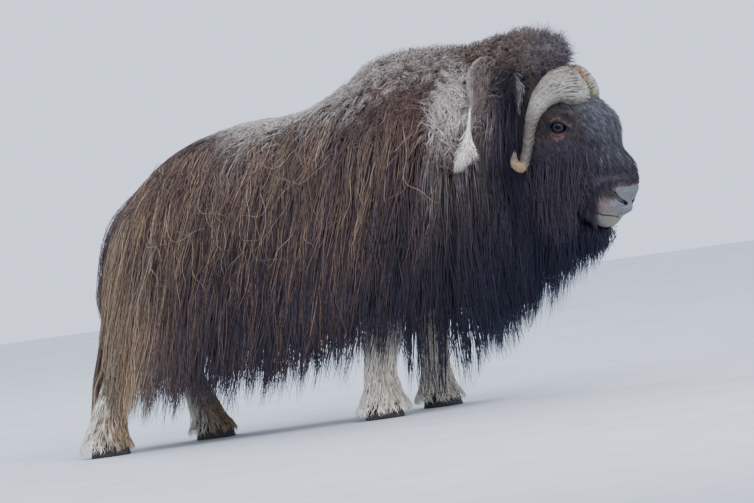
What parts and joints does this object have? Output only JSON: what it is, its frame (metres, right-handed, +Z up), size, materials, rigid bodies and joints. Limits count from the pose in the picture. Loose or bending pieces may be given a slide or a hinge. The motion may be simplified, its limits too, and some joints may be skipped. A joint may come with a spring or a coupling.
{
  "type": "muskox bull, life-size standing model",
  "caption": "Still life-size model of a muskox bull standing side on, head raised and turned, with a long hanging coat, drooping horns and cloven hooves.",
  "frame": {"origin": "middle of the standing box, on the floor under the hooves", "axes": "+X along the body towards the nose, +Y to the animal's left, +Z up"},
  "size_m": [2.2016, 0.7174, 1.3951],
  "materials": {
    "coat": "long coarse guard hair, dark brown with sun-bleached ginger strands and a pale saddle",
    "mane": "grey-brown curly wool over the shoulders, darker long hair below",
    "face": "short dark fur, pale bare nose pad and lips",
    "stocking": "short dense cream fur",
    "horn": "rough grooved horn, grey-cream boss to tan smooth tips",
    "hoof": "dull dark horn",
    "ear": "woolly short fur with a pale fringe",
    "eye": "wet gloss"
  },
  "bodies": {
    "root": {"rump": "coat", "flanks": "coat", "shoulders": "mane", "neck": "mane", "head": "face", "tail": "coat", "horn_left": "horn", "ear_left": "ear", "eye_left": "eye", "horn_right": "horn", "ear_right": "ear", "eye_right": "eye", "leg_front_right": "stocking", "hoof_front_right": "hoof", "leg_front_left": "stocking", "hoof_front_left": "hoof", "leg_hind_right": "stocking", "hoof_hind_right": "hoof", "leg_hind_left": "stocking", "hoof_hind_left": "hoof"}
  },
  "joints": []
}
